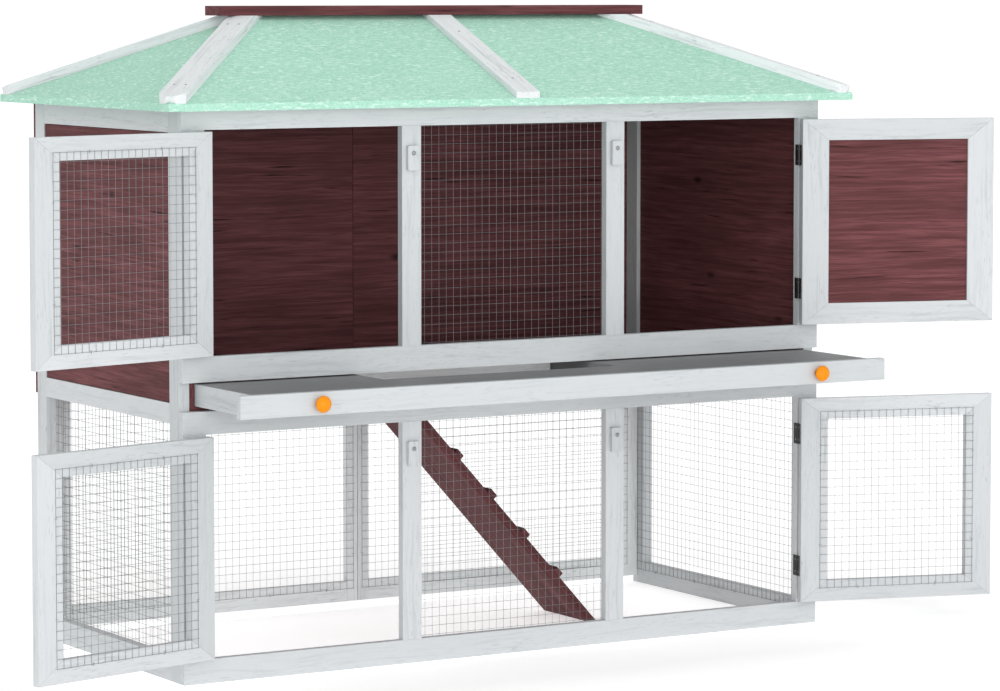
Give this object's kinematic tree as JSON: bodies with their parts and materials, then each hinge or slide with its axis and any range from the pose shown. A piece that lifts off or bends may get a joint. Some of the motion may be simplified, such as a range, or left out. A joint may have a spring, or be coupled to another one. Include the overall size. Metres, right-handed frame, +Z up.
{
  "type": "wooden animal hutch",
  "caption": "Two-storey wooden animal hutch with wire mesh, hinged doors, turn buttons, a notched pull-out tray, a cleated ramp and a hipped felt roof.",
  "frame": {"origin": "on the ground, in the middle of the underside of the front bottom rail", "axes": "+X to the right along the front, +Y from the front to the back, +Z up"},
  "size_m": [2.0557, 0.938, 1.2125],
  "materials": {
    "whitewashed_wood": "matte, grey grain",
    "burgundy_stained_wood": "matte, stained, dark grain and knots",
    "green_felt_roof_board": "board covered with mineral felt, matte and grainy",
    "galvanised_wire": "satin",
    "hinge_steel": "satin, dark",
    "zinc_screw": "satin",
    "grey_tray_sheet": "matte",
    "orange_knob_plastic": "gloss"
  },
  "bodies": {
    "hutch": {"back_mesh_left": "galvanised_wire", "back_mesh_right": "galvanised_wire", "back_panels": "burgundy_stained_wood", "back_rails": "whitewashed_wood", "back_stiles": "whitewashed_wood", "corner_battens": "whitewashed_wood", "floor_ledgers": "burgundy_stained_wood", "floor_panel": "burgundy_stained_wood", "frame_hinge_leaves": "hinge_steel", "front_end_stiles": "whitewashed_wood", "front_mesh_lower": "galvanised_wire", "front_mesh_upper": "galvanised_wire", "front_middle_posts": "whitewashed_wood", "front_rails": "whitewashed_wood", "kerb_front": "whitewashed_wood", "kerb_sides": "burgundy_stained_wood", "ramp_board": "burgundy_stained_wood", "ramp_cleats": "burgundy_stained_wood", "ramp_hanger": "burgundy_stained_wood", "ridge_board": "burgundy_stained_wood", "roof_back_left": "green_felt_roof_board", "roof_back_right": "green_felt_roof_board", "roof_end_left": "green_felt_roof_board", "roof_end_right": "green_felt_roof_board", "roof_front_left": "green_felt_roof_board", "roof_front_right": "green_felt_roof_board", "roof_hip_caps": "whitewashed_wood", "roof_middle_caps": "whitewashed_wood", "side_mesh_left": "galvanised_wire", "side_mesh_right": "galvanised_wire", "side_posts": "whitewashed_wood", "side_rails": "whitewashed_wood", "side_wall_left": "burgundy_stained_wood", "side_wall_right": "burgundy_stained_wood", "turn_button_screws": "zinc_screw"},
    "door_lower_left": {"door_lower_left_hinge_leaves": "hinge_steel", "door_lower_left_mesh": "galvanised_wire", "door_lower_left_rails": "whitewashed_wood", "door_lower_left_stiles": "whitewashed_wood"},
    "door_lower_right": {"door_lower_right_hinge_leaves": "hinge_steel", "door_lower_right_mesh": "galvanised_wire", "door_lower_right_rails": "whitewashed_wood", "door_lower_right_stiles": "whitewashed_wood"},
    "door_upper_left": {"door_upper_left_hinge_leaves": "hinge_steel", "door_upper_left_mesh": "galvanised_wire", "door_upper_left_rails": "whitewashed_wood", "door_upper_left_stiles": "whitewashed_wood"},
    "door_upper_right": {"door_upper_right_hinge_leaves": "hinge_steel", "door_upper_right_panel": "burgundy_stained_wood", "door_upper_right_rails": "whitewashed_wood", "door_upper_right_stiles": "whitewashed_wood"},
    "tray": {"tray_cross_boards": "whitewashed_wood", "tray_front": "whitewashed_wood", "tray_knobs": "orange_knob_plastic", "tray_sheet": "grey_tray_sheet", "tray_sides": "whitewashed_wood"},
    "turn_button_lower_left": {"turn_button_lower_left": "whitewashed_wood"},
    "turn_button_lower_right": {"turn_button_lower_right": "whitewashed_wood"},
    "turn_button_upper_left": {"turn_button_upper_left": "whitewashed_wood"},
    "turn_button_upper_right": {"turn_button_upper_right": "whitewashed_wood"}
  },
  "joints": [
    {"name": "door_lower_left_hinge", "type": "hinge", "parent": "hutch", "child": "door_lower_left", "pos_m": [-0.6428, -0.0113, 0], "axis": [0, 0, -1], "range_deg": [-166, 10.5]},
    {"name": "door_lower_right_hinge", "type": "hinge", "parent": "hutch", "child": "door_lower_right", "pos_m": [0.6428, -0.0113, 0], "axis": [0, 0, 1], "range_deg": [-164.5, 12]},
    {"name": "door_upper_left_hinge", "type": "hinge", "parent": "hutch", "child": "door_upper_left", "pos_m": [-0.6428, -0.0113, 0], "axis": [0, 0, -1], "range_deg": [-166, 10.5]},
    {"name": "door_upper_right_hinge", "type": "hinge", "parent": "hutch", "child": "door_upper_right", "pos_m": [0.6428, -0.0113, 0], "axis": [0, 0, 1], "range_deg": [-164.5, 12]},
    {"name": "tray_slide", "type": "slide", "parent": "hutch", "child": "tray", "axis": [0, -1, 0], "range_m": [-0.225, 0.15]},
    {"name": "turn_button_lower_left_pivot", "type": "hinge", "parent": "hutch", "child": "turn_button_lower_left", "pos_m": [-0.22133, -0.0123, 0.399], "axis": [0, 1, 0], "continuous": true},
    {"name": "turn_button_lower_right_pivot", "type": "hinge", "parent": "hutch", "child": "turn_button_lower_right", "pos_m": [0.22133, -0.0123, 0.399], "axis": [0, 1, 0], "continuous": true},
    {"name": "turn_button_upper_left_pivot", "type": "hinge", "parent": "hutch", "child": "turn_button_upper_left", "pos_m": [-0.22133, -0.0123, 0.944], "axis": [0, 1, 0], "continuous": true},
    {"name": "turn_button_upper_right_pivot", "type": "hinge", "parent": "hutch", "child": "turn_button_upper_right", "pos_m": [0.22133, -0.0123, 0.944], "axis": [0, 1, 0], "continuous": true}
  ]
}
